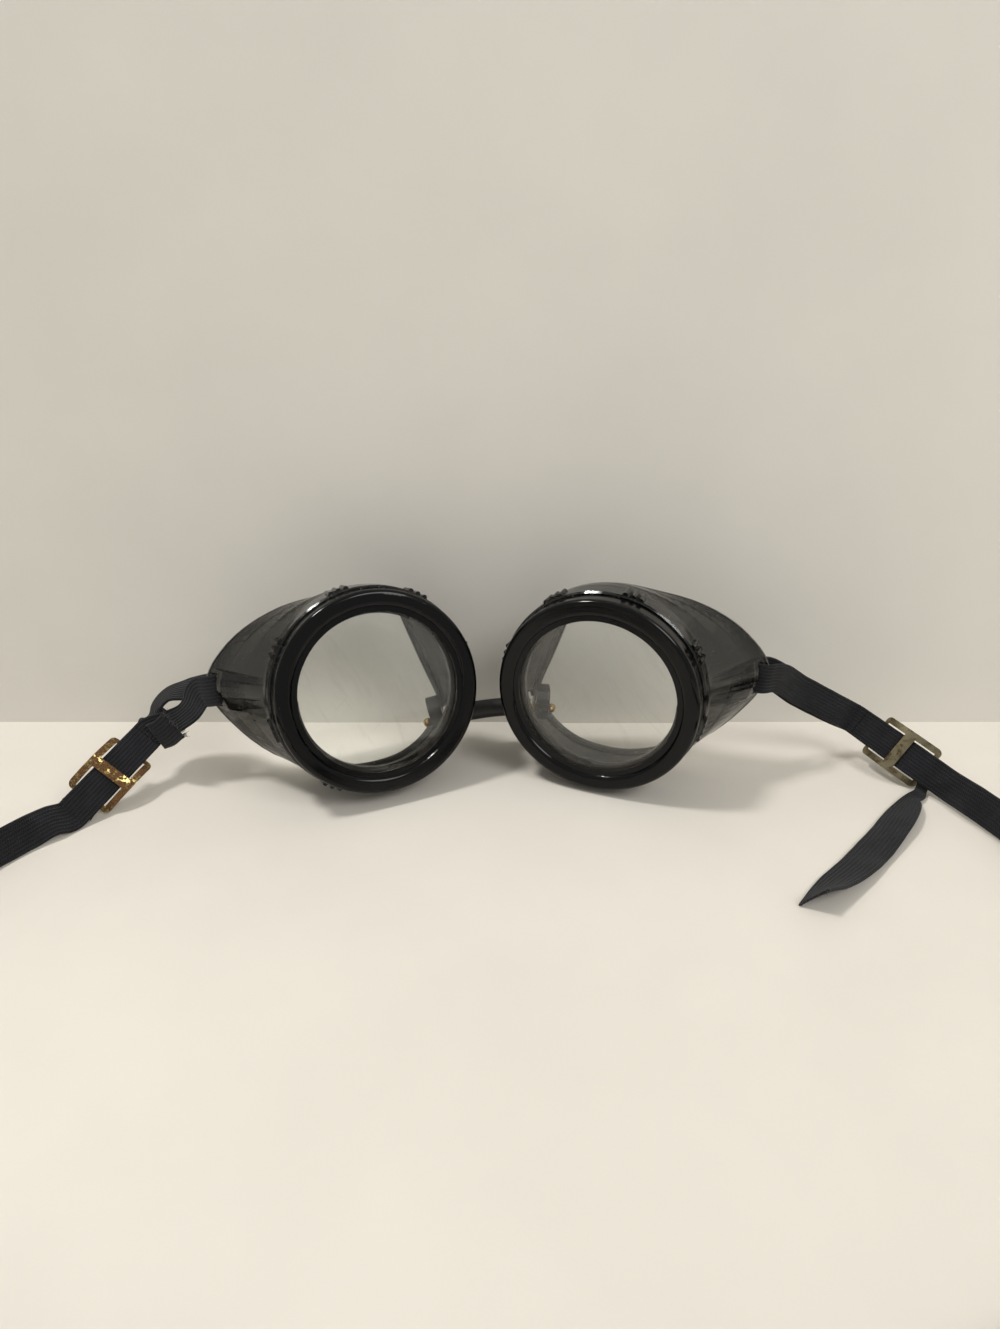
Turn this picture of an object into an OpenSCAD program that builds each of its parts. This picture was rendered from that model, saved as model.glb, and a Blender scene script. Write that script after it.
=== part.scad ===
// Round cup goggles: two moulded eye cups with screw-on lens rings, a chain bridge in a
// rubber sleeve, and an elastic headband adjusted by two slide buckles.
// They stand as they were set down: leaning back a little, toed in, band spread in front.
// Each cup is drawn in its own frame: x to the temple, y up, z out through the lens,
// with zero on the lens axis at the front face of the glass. "seat_cup" puts it in place.

/* [Lens] */
// Diameter of the flat round glass
lens_d = 50; // [47:0.5:54]
// Thickness of the glass
lens_t = 2.5; // [1.5:0.1:3.5]
// Thickness of the fibre washer behind the glass
washer_t = 1; // [0.6:0.1:1.6]
// How far the washer and its ledge reach in under the edge of the glass
ledge_lap = 2.1; // [1.4:0.1:2.6]
// Thickness of the ledge that carries the washer
ledge_t = 1.8; // [1.2:0.1:2.6]
// Number of vent notches in the washer
notch_count = 3; // [0:1:6]
// Width of one vent notch
notch_w = 10; // [4:0.5:13]

/* [Lens ring] */
// Wall of the collar that the ring screws on to
collar_wall = 2.4; // [1.8:0.1:3.2]
// Wall of the ring's skirt
skirt_wall = 2; // [1.6:0.1:2.8]
// How far the skirt reaches behind the front of the glass
skirt_depth = 3.6; // [3:0.1:5]
// How far the ring's lip reaches in over the edge of the glass
lip_lap = 1.4; // [1:0.1:2.2]
// Thickness of the lip over the glass
lip_t = 1.1; // [0.7:0.1:1.4]
// Width of the flat part of the lip, inside the rounded crown
lip_w = 1.4; // [0.6:0.1:2]
// Radius of the crown's rounded edges
crown_r = 1.5; // [1:0.1:1.9]

/* [Eye cup] */
// How far the ribbed barrel stands proud of the ring
barrel_step = 0.8; // [0.2:0.1:2]
// Wall of the barrel
barrel_wall = 2; // [1.6:0.1:2.8]
// Length of the barrel behind the ring
barrel_len = 7.2; // [6:0.1:9]
// Number of groups of grip ribs round the barrel
grip_groups = 8; // [4:1:10]
// Grip ribs in one group
grip_ribs = 3; // [1:1:4]
// Distance between the ribs of a group, along the barrel's surface
grip_pitch = 2.3; // [2:0.1:3]
// Radius of one rounded grip rib
grip_r = 0.8; // [0.5:0.1:0.9]
// How far the grip ribs stand out of the barrel
grip_h = 0.9; // [0.4:0.1:1.1]

/* [Side shield] */
// Thickness of the moulded shield wall
shield_t = 1.8; // [1.4:0.1:2.4]
// How far the rim reaches out past the barrel at the temple
temple_out = 13.4; // [10:0.1:16]
// How far the rim reaches back behind the barrel at the temple
temple_back = 18; // [15:0.5:22]
// How far the rim reaches back behind the barrel at the brow
brow_back = 9; // [7:0.5:11]
// How far the rim reaches back behind the barrel beside the nose
nose_back = 10.7; // [9:0.1:13]
// How far the straight nose cut comes in from the barrel's radius
nose_cut = 10; // [7:0.1:12]
// Radius of the rolled bead round the rim
bead_r = 1.4; // [1.1:0.1:1.8]
// Height of the two stiffening ribs, on each face of the shield
stiffener_h = 0.6; // [0.2:0.1:1]
// Extra thickness of the temple lug, on each face of the shield
lug_h = 0.8; // [0.4:0.1:1.2]

/* [Bridge] */
// Outer diameter of the rubber sleeve
sleeve_d = 6; // [5.2:0.1:7]
// Bore of the sleeve
sleeve_bore = 3.8; // [3.6:0.1:4.2]
// How far the sleeve arches up between the cups
sleeve_rise = 1.6; // [1:0.1:4]
// Diameter of the chain's beads
chain_bead_d = 3; // [2.4:0.1:3.2]
// Distance from bead to bead
chain_pitch = 4.3; // [3.8:0.1:5]
// Diameter of the links between the beads
chain_link_d = 0.9; // [0.6:0.1:1.2]
// Diameter of the boss that the chain is held in
boss_d = 7.6; // [6.8:0.1:9]
// Thickness of that boss
boss_t = 4.2; // [3.6:0.1:5]
// Thickness of the slotted web that the last bead rests on
boss_web = 1.4; // [1:0.1:2]
// Distance from the chain's seat up to the hole that the beads are threaded through
key_rise = 4.6; // [4.4:0.1:5.4]

/* [Headband] */
// Width of the flat elastic
band_w = 9.5; // [8:0.1:9.8]
// Thickness of the elastic
band_t = 0.9; // [0.6:0.05:1]

/* [Slide buckle] */
// Length of the slide along the band
slide_len = 18.5; // [17:0.1:21]
// Width of the rails beside the band
slide_rail = 2; // [1.2:0.1:2.2]
// Thickness of the sheet metal
slide_t = 0.7; // [0.5:0.05:0.9]
// Width of the centre bar that lies over the band
slide_bar = 3.2; // [2.4:0.1:4]
// Width of the two end bars that lie under the band
slide_end = 1.3; // [1:0.1:1.8]

/* [Pose] */
// Distance of each lens axis from the middle
cup_x = 31.4; // [30:0.1:34]
// How far the left cup leans back
lean_left = 14.5; // [8:0.5:20]
// How far the right cup leans back
lean_right = 2; // [0:0.5:8]
// How far the left cup is toed in
toe_left = 24.5; // [20:0.5:28]
// How far the right cup is toed in
toe_right = 22; // [18:0.5:26]
// How far the left temple is lifted
lift_left = 10; // [6:0.5:14]
// How far the right temple is lifted
lift_right = 8.5; // [6:0.5:14]

/* [Hidden] */
$fn = 96;

// Clearances
lens_gap = 0.3;
thread_gap = 0.25;
face_gap = 0.1;
stack_gap = 0.05;
chain_gap = 0.3;
sleeve_gap = 0.5;
layer_gap = 0.06;
slot_gap = 1.5;
window_gap = 0.4;

// Radii and levels in the cup's own frame
pocket_r = lens_d / 2 + lens_gap;
collar_r = pocket_r + collar_wall;
skirt_r = collar_r + thread_gap;
ring_r = skirt_r + skirt_wall;
aperture_r = lens_d / 2 - lip_lap;
crown_in = aperture_r + lip_w;
crown_z = face_gap + lip_t - 0.6;
ledge_r = lens_d / 2 - ledge_lap;
washer_z = -lens_t - washer_t;
ledge_z = washer_z - stack_gap;
collar_z = -0.4;
shoulder_z = -skirt_depth - 0.2;
barrel_r = ring_r + barrel_step;
barrel_in = barrel_r - barrel_wall;
barrel_z = shoulder_z - barrel_len;
bowl_z = min(shoulder_z - 1.3, ledge_z - ledge_t - 0.6);
shoulder_fillet = 0.5;
notch_depth = 1.3;
notch_first = 248;
notch_step = 118;

// Rim of the cup: angle from the temple, distance past the barrel, distance behind it
rim_keys = [
  [-24, temple_out - 6.4, temple_back - 2.1],
  [-10, temple_out - 1.8, temple_back - 0.6],
  [-3, temple_out, temple_back],
  [4, temple_out - 1.1, temple_back - 0.5],
  [13, temple_out - 3.6, temple_back - 2.8],
  [37, 2.7, brow_back + 2.8],
  [60, -2.1, brow_back + 0.3],
  [90, -3.4, brow_back],
  [120, -3.7, brow_back + 0.6],
  [152, -3.7, (brow_back + nose_back) / 2],
  [188, -4, nose_back],
  [212, -2.6, nose_back - 0.8],
  [237, -2.7, nose_back - 1.2],
  [262, -3.2, nose_back - 1.2],
  [298, -1.2, temple_back - 7.2],
  [317, 2.4, temple_back - 4.8]
];
nose_cut_angle = 152;
rim_turns = len(rim_keys);

// Stiffening ribs on the shield: angle of the middle and angular width
stiffeners = [[-9.5, 4.2], [2.2, 3.2]];
stiffener_ramp = 0.6;
lug_span = [-13.6, 3.8];
shield_embed = 1.2;
panel_steps = [0.04, 0.38, 0.72];
panel_bulge = 0.7;
bead_turns = [120, 80, 40, 0, -40, -80, -120];

function stiffener_angles(s) = [
  s[0] - s[1] / 2 - stiffener_ramp,
  s[0] - s[1] / 2,
  s[0] + s[1] / 2,
  s[0] + s[1] / 2 + stiffener_ramp
];
rim_angles = concat(
  [for (a = [-30:4:-14]) a],
  stiffener_angles(stiffeners[0]),
  [-4.6, -2.2],
  stiffener_angles(stiffeners[1]),
  [for (a = [7:4:31]) a],
  [for (a = [36:6:324]) a]
);

// Smooth closed curve through the rim keys
function rim_key(i) = let (k = rim_keys[(i + rim_turns) % rim_turns])
  [k[0] + 360 * floor(i / rim_turns), k[1], k[2]];
function rim_span(a, i = 0) = a < rim_key(i + 1)[0] ? i : rim_span(a, i + 1);
function rim_slope(i) = (rim_key(i + 1) - rim_key(i - 1))
  / (rim_key(i + 1)[0] - rim_key(i - 1)[0]);
function hermite(p, q, m, n, h, t) = p * (2 * t ^ 3 - 3 * t ^ 2 + 1)
  + m * h * (t ^ 3 - 2 * t ^ 2 + t) + q * (3 * t ^ 2 - 2 * t ^ 3) + n * h * (t ^ 3 - t ^ 2);
function rim_raw(a) = let (
    w = a < rim_keys[0][0] ? a + 360 : a,
    i = rim_span(w),
    p = rim_key(i),
    q = rim_key(i + 1),
    h = q[0] - p[0]
  ) hermite(p, q, rim_slope(i), rim_slope(i + 1), h, (w - p[0]) / h);

// Distance to the straight nose cut at an angle, far away where the cut isn't met
function cut_r(a) = let (c = cos(a - nose_cut_angle))
  c > 0.5 ? (barrel_r - nose_cut) / c : 2 * barrel_r;
// Centre of the bead at an angle, as radius and level
function rim(a) = let (k = rim_raw(a)) [min(barrel_r + k[1], cut_r(a)), barrel_z - k[2]];

function unit(v) = v / norm(v);
// Middle of the shield wall at an angle, from 0 at the barrel to 1 at the bead
function wall_start() = [barrel_r - barrel_wall / 2, barrel_z];
function wall_dir(a) = unit(rim(a) - wall_start());
function wall_normal(a) = let (u = wall_dir(a)) [-u[1], u[0]];
function wall_mid(a, s) = wall_start() + (rim(a) - wall_start()) * s
  + wall_normal(a) * panel_bulge * 4 * s * (1 - s);

function in_stiffener(a) = len([for (s = stiffeners) if (abs(a - s[0]) < s[1] / 2 + 0.01) 1]) > 0;
function in_lug(a) = a > lug_span[0] - 0.01 && a < lug_span[1] + 0.01;
function half_wall(a, s) = shield_t / 2 + (in_stiffener(a) && s > 0.2 ? stiffener_h : 0)
  + (in_lug(a) && s > 0.5 ? lug_h - (in_stiffener(a) ? stiffener_h : 0) : 0);

// Closed profile of the shield wall at an angle: out along the outside, round the bead, back inside
function shield_profile(a) = let (
    u = wall_dir(a),
    n = wall_normal(a),
    b = rim(a),
    root = [wall_start()[0], barrel_z + shield_embed],
    lap = [shield_t / 2 - 0.1, 0]
  ) concat(
    [root + lap],
    [for (s = panel_steps) wall_mid(a, s) + n * half_wall(a, s)],
    [for (t = bead_turns) b + bead_r * (cos(t) * u + sin(t) * n)],
    [for (i = [len(panel_steps) - 1:-1:0])
      wall_mid(a, panel_steps[i]) - n * half_wall(a, panel_steps[i])],
    [root - lap]
  );

// Closed surface swept round the axis through one profile at each angle
module swept_ring(angles, profiles) {
  n = len(angles);
  k = len(profiles[0]);
  points = [for (i = [0:n - 1]) for (p = profiles[i])
    [p[0] * cos(angles[i]), p[0] * sin(angles[i]), p[1]]];
  faces = [for (i = [0:n - 1]) for (j = [0:k - 1]) let (
      a = i * k + j,
      b = i * k + (j + 1) % k,
      c = ((i + 1) % n) * k + (j + 1) % k,
      d = ((i + 1) % n) * k + j
    ) each [[a, d, c], [a, c, b]]];
  polyhedron(points, faces, convexity = 6);
}

// Cup placement: which side, and how each pose turns the cup's frame
function lean(side) = side < 0 ? lean_left : lean_right;
function toe(side) = side < 0 ? toe_left : toe_right;
function lift(side) = side < 0 ? lift_left : lift_right;
function turn_x(a, p) = [p[0], p[1] * cos(a) - p[2] * sin(a), p[1] * sin(a) + p[2] * cos(a)];
function turn_z(a, p) = [p[0] * cos(a) - p[1] * sin(a), p[0] * sin(a) + p[1] * cos(a), p[2]];
function turned(side, p) = let (q = turn_z(-toe(side), turn_x(90 - lean(side), turn_z(lift(side), p))))
  [side * q[0], q[1], q[2]];

// How far the barrel and the rim reach down below the lens axis, so that the lower one stands
grip_out = barrel_r + grip_h;
grip_start = shield_embed + 0.1;
function grip_angle(g, k) = (g + 0.5) * 360 / grip_groups
  + (k - (grip_ribs - 1) / 2) * grip_pitch / barrel_r * 180 / PI;
grip_angles = [for (g = [0:grip_groups - 1]) for (k = [0:grip_ribs - 1]) grip_angle(g, k)];
function down_of(r, a, d, side) = -r * sin(a + lift(side)) * cos(lean(side)) + d * sin(lean(side));
function barrel_down(side) = max(
  barrel_r * cos(lean(side)) - barrel_z * sin(lean(side)),
  max([for (a = grip_angles) down_of(grip_out - grip_r, a, -barrel_z, side) + grip_r * cos(lean(side))])
);
function rim_down(side) = max([for (a = rim_angles) let (b = rim(a)) down_of(b[0], a, -b[1], side)]) + bead_r;
function cup_z(side) = max(barrel_down(side), rim_down(side));
function seat(side, p) = turned(side, p) + [side * cup_x, 0, cup_z(side)];
module seat_cup(side) {
  mirror([side < 0 ? 1 : 0, 0, 0])
    translate([cup_x, 0, cup_z(side)])
      rotate([0, 0, -toe(side)])
        rotate([90 - lean(side), 0, 0])
          rotate([0, 0, lift(side)]) children();
}

// Bridge: an arc through both nose walls
boss_angle = 206;
boss_place = 0.8;
boss_out = 1.6;
function wall_point(a, s) = let (m = wall_mid(a, s)) [m[0] * cos(a), m[0] * sin(a), m[1]];
bridge_l = seat(-1, wall_point(boss_angle, boss_place));
bridge_r = seat(1, wall_point(boss_angle, boss_place));
bridge_mid = (bridge_l + bridge_r) / 2;
bridge_ex = unit(bridge_r - bridge_l);
bridge_ez = unit([0, 0, 1] - bridge_ex * bridge_ex[2]);
bridge_ey = cross(bridge_ez, bridge_ex);
bridge_span = norm(bridge_r - bridge_l);
arc_r = (bridge_span ^ 2 / 4 + sleeve_rise ^ 2) / (2 * sleeve_rise);
arc_end = asin(bridge_span / 2 / arc_r) - boss_out / arc_r * 180 / PI;
sleeve_end = arc_end - (sleeve_d / 2 + sleeve_gap) / arc_r * 180 / PI;
chain_count = round(2 * arc_end * PI / 180 * arc_r / chain_pitch);
chain_step = 2 * arc_end / chain_count;
chain_hole_r = chain_bead_d / 2 + chain_gap;
link_slot_w = chain_link_d + 2 * chain_gap;
spot_r = sleeve_d / 2 + 0.8;

module on_frame(o, x, y, z) {
  multmatrix([
    [x[0], y[0], z[0], o[0]],
    [x[1], y[1], z[1], o[1]],
    [x[2], y[2], z[2], o[2]],
    [0, 0, 0, 1]
  ]) children();
}
module on_bridge() {
  on_frame(bridge_mid, bridge_ex, bridge_ey, bridge_ez) children();
}
// Puts its children on the bridge arc, with x along the arc, away from the middle
module on_arc(t) {
  translate([0, 0, sleeve_rise - arc_r]) rotate([0, t, 0]) translate([0, 0, arc_r])
    mirror([t < 0 ? 1 : 0, 0, 0]) children();
}
module along_arc(half_angle) {
  translate([0, 0, sleeve_rise - arc_r]) rotate([90, 0, 0]) rotate([0, 0, 90 - half_angle])
    rotate_extrude(angle = 2 * half_angle) translate([arc_r, 0]) children();
}
module along_x(x0, x1, r) {
  translate([x0, 0, 0]) rotate([0, 90, 0]) cylinder(r = r, h = x1 - x0, $fn = 48);
}

// Strap slot in the temple lug, just inside the bead that it leaves as a bar
function rim_point(a) = let (b = rim(a)) [b[0] * cos(a), b[0] * sin(a), b[1]];
function square_to(v, e) = unit(v - e * (v * e));
bar_low = rim_point(-11.3);
bar_high = rim_point(2.3);
bar_mid = (bar_low + bar_high) / 2;
bar_up = unit(bar_high - bar_low);
slot_angle = atan2(bar_mid[1], bar_mid[0]);
bar_out = let (u = wall_dir(slot_angle))
  square_to([u[0] * cos(slot_angle), u[0] * sin(slot_angle), u[1]], bar_up);
bar_face = cross(bar_out, bar_up);
slot_w = band_t + slot_gap;
slot_len = band_w + 0.7;
slot_in = bead_r + slot_w / 2 - 0.4;
// The bar bows out from the line between its ends, so the elastic goes round it in an oval
bar_rows = [for (a = [-11:1:2]) rim_point(a) - bar_mid];
bar_bow_u = max([for (b = bar_rows) b * bar_out]);
bar_bow_n = max([for (b = bar_rows) b * bar_face]);
wrap_r = bead_r + band_t / 2 + 0.6;
wrap_top = bar_bow_n + wrap_r;
function lug_point(u, n) = bar_mid + u * bar_out + n * bar_face;

// Slides: middle, direction along the band away from the temple, and direction across it
slide_mid_l = [-110.6, -7.2, 10.15];
slide_mid_r = [127.2, 6.6, 9.5];
slide_ex_l = unit([-0.5, -0.75, -0.43]);
slide_ex_r = unit([0.6, -0.75, -0.27]);
slide_up_l = [-0.72, 0.12, 0.66];
slide_up_r = [0.52, 0.2, 0.83];
slide_ey_l = square_to(slide_up_l, slide_ex_l);
slide_ey_r = square_to(slide_up_r, slide_ex_r);
slide_ez_l = cross(slide_ey_l, slide_ex_l);
slide_ez_r = cross(slide_ex_r, slide_ey_r);
layer_z = (band_t + layer_gap) / 2;
run_in = slide_len / 2 + 5;
// A point on a slide: distance from the temple side, and which layer, 1 in front and -1 behind
function on_slide(side, x, layer) = side < 0
  ? concat(slide_mid_l + slide_ex_l * x + slide_ez_l * layer * layer_z, slide_ey_l)
  : concat(slide_mid_r + slide_ex_r * x + slide_ez_r * layer * layer_z, slide_ey_r);

// Bow of the slide: just deep enough for both layers between its bars
bar_need = 2 * (band_t + layer_gap / 2 + 0.05);
bar_edge = slide_len / 2 - slide_end;
function bow_gap(r) = sqrt(r ^ 2 - slide_bar ^ 2 / 4) - sqrt((r + slide_t) ^ 2 - bar_edge ^ 2);
function bow_fit(lo, hi, n) = n == 0 ? lo
  : let (m = (lo + hi) / 2) bow_gap(m) > bar_need ? bow_fit(m, hi, n - 1) : bow_fit(lo, m, n - 1);
bow_r = bow_fit(bar_edge, 60, 30);
bow_drop = sqrt(bow_r ^ 2 - slide_bar ^ 2 / 4) - bar_need / 2;
window_h = band_w + 2 * window_gap;
slide_h = window_h + 2 * slide_rail;
slide_corner = 1.5;

// Runs of the band: middle of the elastic and the direction of its width, one row per point
band_rest = band_w / 2 + 0.06;
upright = [0, 0, 1];
function run_point(x, y, z, up, share = 1) = concat([x, y, z], unit(up) * share);
function world_point(side, p) = concat(seat(side, p), turned(side, bar_up));
function lug_wrap(side) = [for (t = [90:30:270]) world_point(side, lug_point(
  bar_bow_u / 2 + (bar_bow_u / 2 + wrap_r) * cos(t),
  bar_bow_n / 2 + (bar_bow_n / 2 + wrap_r) * sin(t)
))];

band_route = concat(
  [for (x = [-run_in, 0, run_in, run_in + 1.5]) on_slide(1, x, 1)],
  [
    run_point(139.6, -14.5, 5.5, [0.5, 0.2, 0.84]),
    run_point(145.4, -33, 5, [0.3, 0.12, 0.95]),
    run_point(149, -60, band_rest, upright),
    run_point(146.5, -88, band_rest, upright),
    run_point(132, -116, band_rest, upright),
    run_point(100, -140, band_rest, upright),
    run_point(52, -154, band_rest, upright),
    run_point(0, -158, band_rest, upright),
    run_point(-52, -154, band_rest, upright),
    run_point(-100, -140, band_rest, upright),
    run_point(-132, -116, band_rest, upright),
    run_point(-146.5, -88, band_rest, upright),
    run_point(-143, -62, band_rest, upright),
    run_point(-131.5, -40, 4.85, [-0.25, 0.1, 0.96]),
    run_point(-125.2, -28.2, 4.6, [-0.5, 0.1, 0.84]),
    run_point(-121.6, -22.6, 4.5, [-0.76, 0.1, 0.55])
  ],
  [for (x = [run_in + 0.8, run_in, 0, -run_in]) on_slide(-1, x, 1)]
);
loop_l_front = [
  run_point(-97.2, 6.2, 19, [-0.5, 0.66, 0.55]),
  run_point(-93, 6.3, 21.5, [-0.32, 0.8, 0.5]),
  run_point(-89.4, 6.4, 24.8, [-0.35, 0.6, 0.7])
];
loop_l_back = [
  run_point(-88.3, 12.9, 28.4, [-0.25, 0.8, 0.4]),
  run_point(-93.5, 13.6, 27.3, [-0.3, 0.87, 0.2]),
  run_point(-99.1, 13.3, 25.6, [-0.38, 0.9, 0]),
  run_point(-102.3, 11.6, 22.2, [-0.45, 0.85, 0.1]),
  run_point(-102.1, 9.3, 19.6, [-0.6, 0.55, 0.5])
];
loop_r_front = [
  run_point(110.5, 17.6, 18, [0.38, 0.2, 0.85]),
  run_point(97.2, 15.4, 25.8, [0.15, 0.2, 0.95])
];
loop_r_back = [
  run_point(97.6, 17.4, 24.2, [0.15, 0.2, 0.95]),
  run_point(111, 19.4, 16.6, [0.38, 0.2, 0.85])
];
loop_route_l = concat(
  [on_slide(-1, -run_in - 0.2, 1), on_slide(-1, -run_in - 1.5, 1)],
  loop_l_front,
  [world_point(-1, lug_point(3.2, wrap_top))],
  lug_wrap(-1),
  [world_point(-1, lug_point(3.2, -wrap_r))],
  loop_l_back,
  [on_slide(-1, -run_in - 1.5, -1), on_slide(-1, -run_in - 0.2, -1)]
);
loop_route_r = concat(
  [on_slide(1, -run_in - 0.2, 1), on_slide(1, -run_in - 1.5, 1)],
  loop_r_front,
  [world_point(1, lug_point(3.2, wrap_top))],
  lug_wrap(1),
  [world_point(1, lug_point(3.2, -wrap_r))],
  loop_r_back,
  [on_slide(1, -run_in - 1.5, -1), on_slide(1, -run_in - 0.2, -1)]
);
tail_route_l = [for (x = [-run_in, 0, run_in - 1]) on_slide(-1, x, -1)];
// Under the band just past the slide, bunched up, then forward and lying on the table
function past_slide(x, y, n, across, along, share) = concat(
  slide_mid_r + slide_ex_r * (slide_len / 2 + x) + slide_ey_r * y + slide_ez_r * n,
  unit(slide_ey_r * across + slide_ex_r * along) * share
);
tail_route_r = concat(
  [for (x = [-run_in, 0, slide_len / 3 - 1.5, slide_len / 3]) on_slide(1, x, -1)],
  [
    past_slide(-1.2, -0.5, -0.5, 0.96, 0.25, 0.85),
    past_slide(0.6, -2, -0.5, 0.8, 0.6, 0.55),
    past_slide(1.8, -4.3, -0.6, 0.37, 0.93, 0.38),
    past_slide(2.4, -6.1, -0.1, 0.1, 1, 0.36),
    past_slide(3, -6.9, 1.6, 0, 1, 0.4),
    run_point(126.2, -7.4, 1.5, [0.72, -0.66, 0.12], 0.5),
    run_point(123, -11.4, 1.9, [0.72, -0.62, 0.3], 0.8),
    run_point(117.9, -17.4, 2.1, [0.69, -0.65, 0.3]),
    run_point(110.6, -25.4, 1.7, [0.68, -0.7, 0.2]),
    run_point(103.9, -32.2, 1.4, [0.7, -0.7, 0.1]),
    run_point(97.4, -38.4, 1.6, [0.66, -0.7, 0.2]),
    run_point(88.5, -46, 2.4, [0.5, -0.6, 0.35]),
    run_point(80, -53.5, 4.2, [0.35, -0.4, 0.75])
  ]
);
end_route_l = [
  run_point(-100, 2.8, 16.8, [-0.76, 0.13, 0.63]),
  run_point(-96.8, 1.9, 18.6, [-0.8, 0.2, 0.5]),
  run_point(-93.6, 1.8, 21.4, [-0.85, 0.25, 0.37])
];

// Smooth curve through a run's rows, even where some of them are close together
function row_gap(c, i) = norm(place_of(c[i + 1]) - place_of(c[i]));
function row_slope(c, i) = let (n = len(c))
  i == 0 ? (c[1] - c[0]) / row_gap(c, 0)
  : i == n - 1 ? (c[i] - c[i - 1]) / row_gap(c, i - 1)
  : let (a = row_gap(c, i - 1), b = row_gap(c, i))
    ((c[i] - c[i - 1]) * b / a + (c[i + 1] - c[i]) * a / b) / (a + b);
function smooth_run(c, k) = let (n = len(c)) concat(
  [for (i = [0:n - 2]) for (j = [0:k - 1])
    hermite(c[i], c[i + 1], row_slope(c, i), row_slope(c, i + 1), row_gap(c, i), j / k)],
  [c[n - 1]]
);
function place_of(row) = [row[0], row[1], row[2]];
function up_of(row) = [row[3], row[4], row[5]];

// Flat elastic along a run, each corner of its section carried from row to row. The length of
// a row's last three numbers is the share of its width that the elastic has there.
module elastic(route, steps) {
  run = smooth_run(route, steps);
  n = len(run);
  corners = [[-1, -1], [1, -1], [1, 1], [-1, 1]];
  points = [for (i = [0:n - 1]) let (
      along = unit(place_of(run[min(i + 1, n - 1)]) - place_of(run[max(i - 1, 0)])),
      across = square_to(up_of(run[i]), along),
      width = band_w * norm(up_of(run[i])),
      face = cross(along, across)
    ) for (c = corners) place_of(run[i]) + face * c[0] * band_t / 2 + across * c[1] * width / 2];
  sides = [for (i = [0:n - 2]) for (j = [0:3]) let (
      a = i * 4 + j,
      b = i * 4 + (j + 1) % 4
    ) each [[a, b, b + 4], [a, b + 4, a + 4]]];
  ends = [[0, 3, 2], [0, 2, 1], [4 * n - 4, 4 * n - 3, 4 * n - 2], [4 * n - 4, 4 * n - 2, 4 * n - 1]];
  polyhedron(points, concat(sides, ends), convexity = 8);
}

// The origin is under the middle of the whole part
band_run = smooth_run(band_route, 4);
band_half = band_t / 2;
part_left = min([for (r = band_run) r[0]]) - band_half;
part_right = max([for (r = band_run) r[0]]) + band_half;
part_front = min([for (r = band_run) r[1]]) - band_half;
part_back = max([for (s = [-1, 1]) for (a = rim_angles) let (b = rim(a))
  seat(s, [b[0] * cos(a), b[0] * sin(a), b[1]])[1]]) + bead_r;
middle = [-(part_left + part_right) / 2, -(part_front + part_back) / 2, 0];

// Pieces in the cup's own frame

module ring_shape() {
  rotate_extrude($fn = 128) difference() {
    union() {
      for (r = [crown_in + crown_r, ring_r - crown_r])
        translate([r, crown_z]) circle(r = crown_r, $fn = 64);
      translate([crown_in + crown_r, face_gap])
        square([ring_r - 2 * crown_r - crown_in, crown_z + crown_r - face_gap]);
      translate([aperture_r, face_gap]) square([ring_r - crown_r - aperture_r, lip_t]);
      translate([skirt_r, -skirt_depth]) square([skirt_wall, skirt_depth + crown_z]);
    }
    translate([0, -2 * skirt_depth]) square([skirt_r, 2 * skirt_depth + face_gap]);
  }
}

module lens_shape() {
  translate([0, 0, -lens_t]) cylinder(d = lens_d, h = lens_t, $fn = 128);
}

module washer_shape() {
  translate([0, 0, washer_z]) difference() {
    cylinder(r = lens_d / 2, h = washer_t, $fn = 128);
    translate([0, 0, -1]) cylinder(r = ledge_r, h = washer_t + 2, $fn = 128);
    for (i = [0:1:notch_count - 1])
      intersection() {
        translate([0, 0, -1]) cylinder(r = ledge_r + notch_depth, h = washer_t + 2, $fn = 128);
        rotate([0, 0, notch_first + i * notch_step])
          translate([0, -notch_w / 2, -1]) cube([lens_d, notch_w, washer_t + 2]);
      }
  }
}

module collar_and_barrel() {
  rotate_extrude($fn = 128) difference() {
    polygon([
      [ledge_r, ledge_z - ledge_t],
      [ledge_r, ledge_z],
      [pocket_r, ledge_z],
      [pocket_r, collar_z],
      [collar_r, collar_z],
      [collar_r, shoulder_z],
      [barrel_r - shoulder_fillet, shoulder_z],
      [barrel_r, shoulder_z - shoulder_fillet],
      [barrel_r, barrel_z],
      [barrel_in, barrel_z],
      [barrel_in, bowl_z - 1.2],
      [barrel_in - 1.2, bowl_z],
      [pocket_r, bowl_z],
      [ledge_r, ledge_z - ledge_t]
    ]);
  }
}

module grips() {
  for (a = grip_angles)
    rotate([0, 0, a])
      translate([grip_out - grip_r, 0, barrel_z + grip_start])
        cylinder(r = grip_r, h = barrel_len - shoulder_fillet - grip_start, $fn = 24);
}

module strap_slot() {
  on_frame(lug_point(-slot_in, 0), bar_out, bar_up, bar_face)
    cube([slot_w, slot_len, 4 * shield_t + 4 * lug_h], center = true);
}

module cup_shape() {
  difference() {
    union() {
      collar_and_barrel();
      grips();
      swept_ring(rim_angles, [for (a = rim_angles) shield_profile(a)]);
    }
    strap_slot();
  }
}

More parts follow.
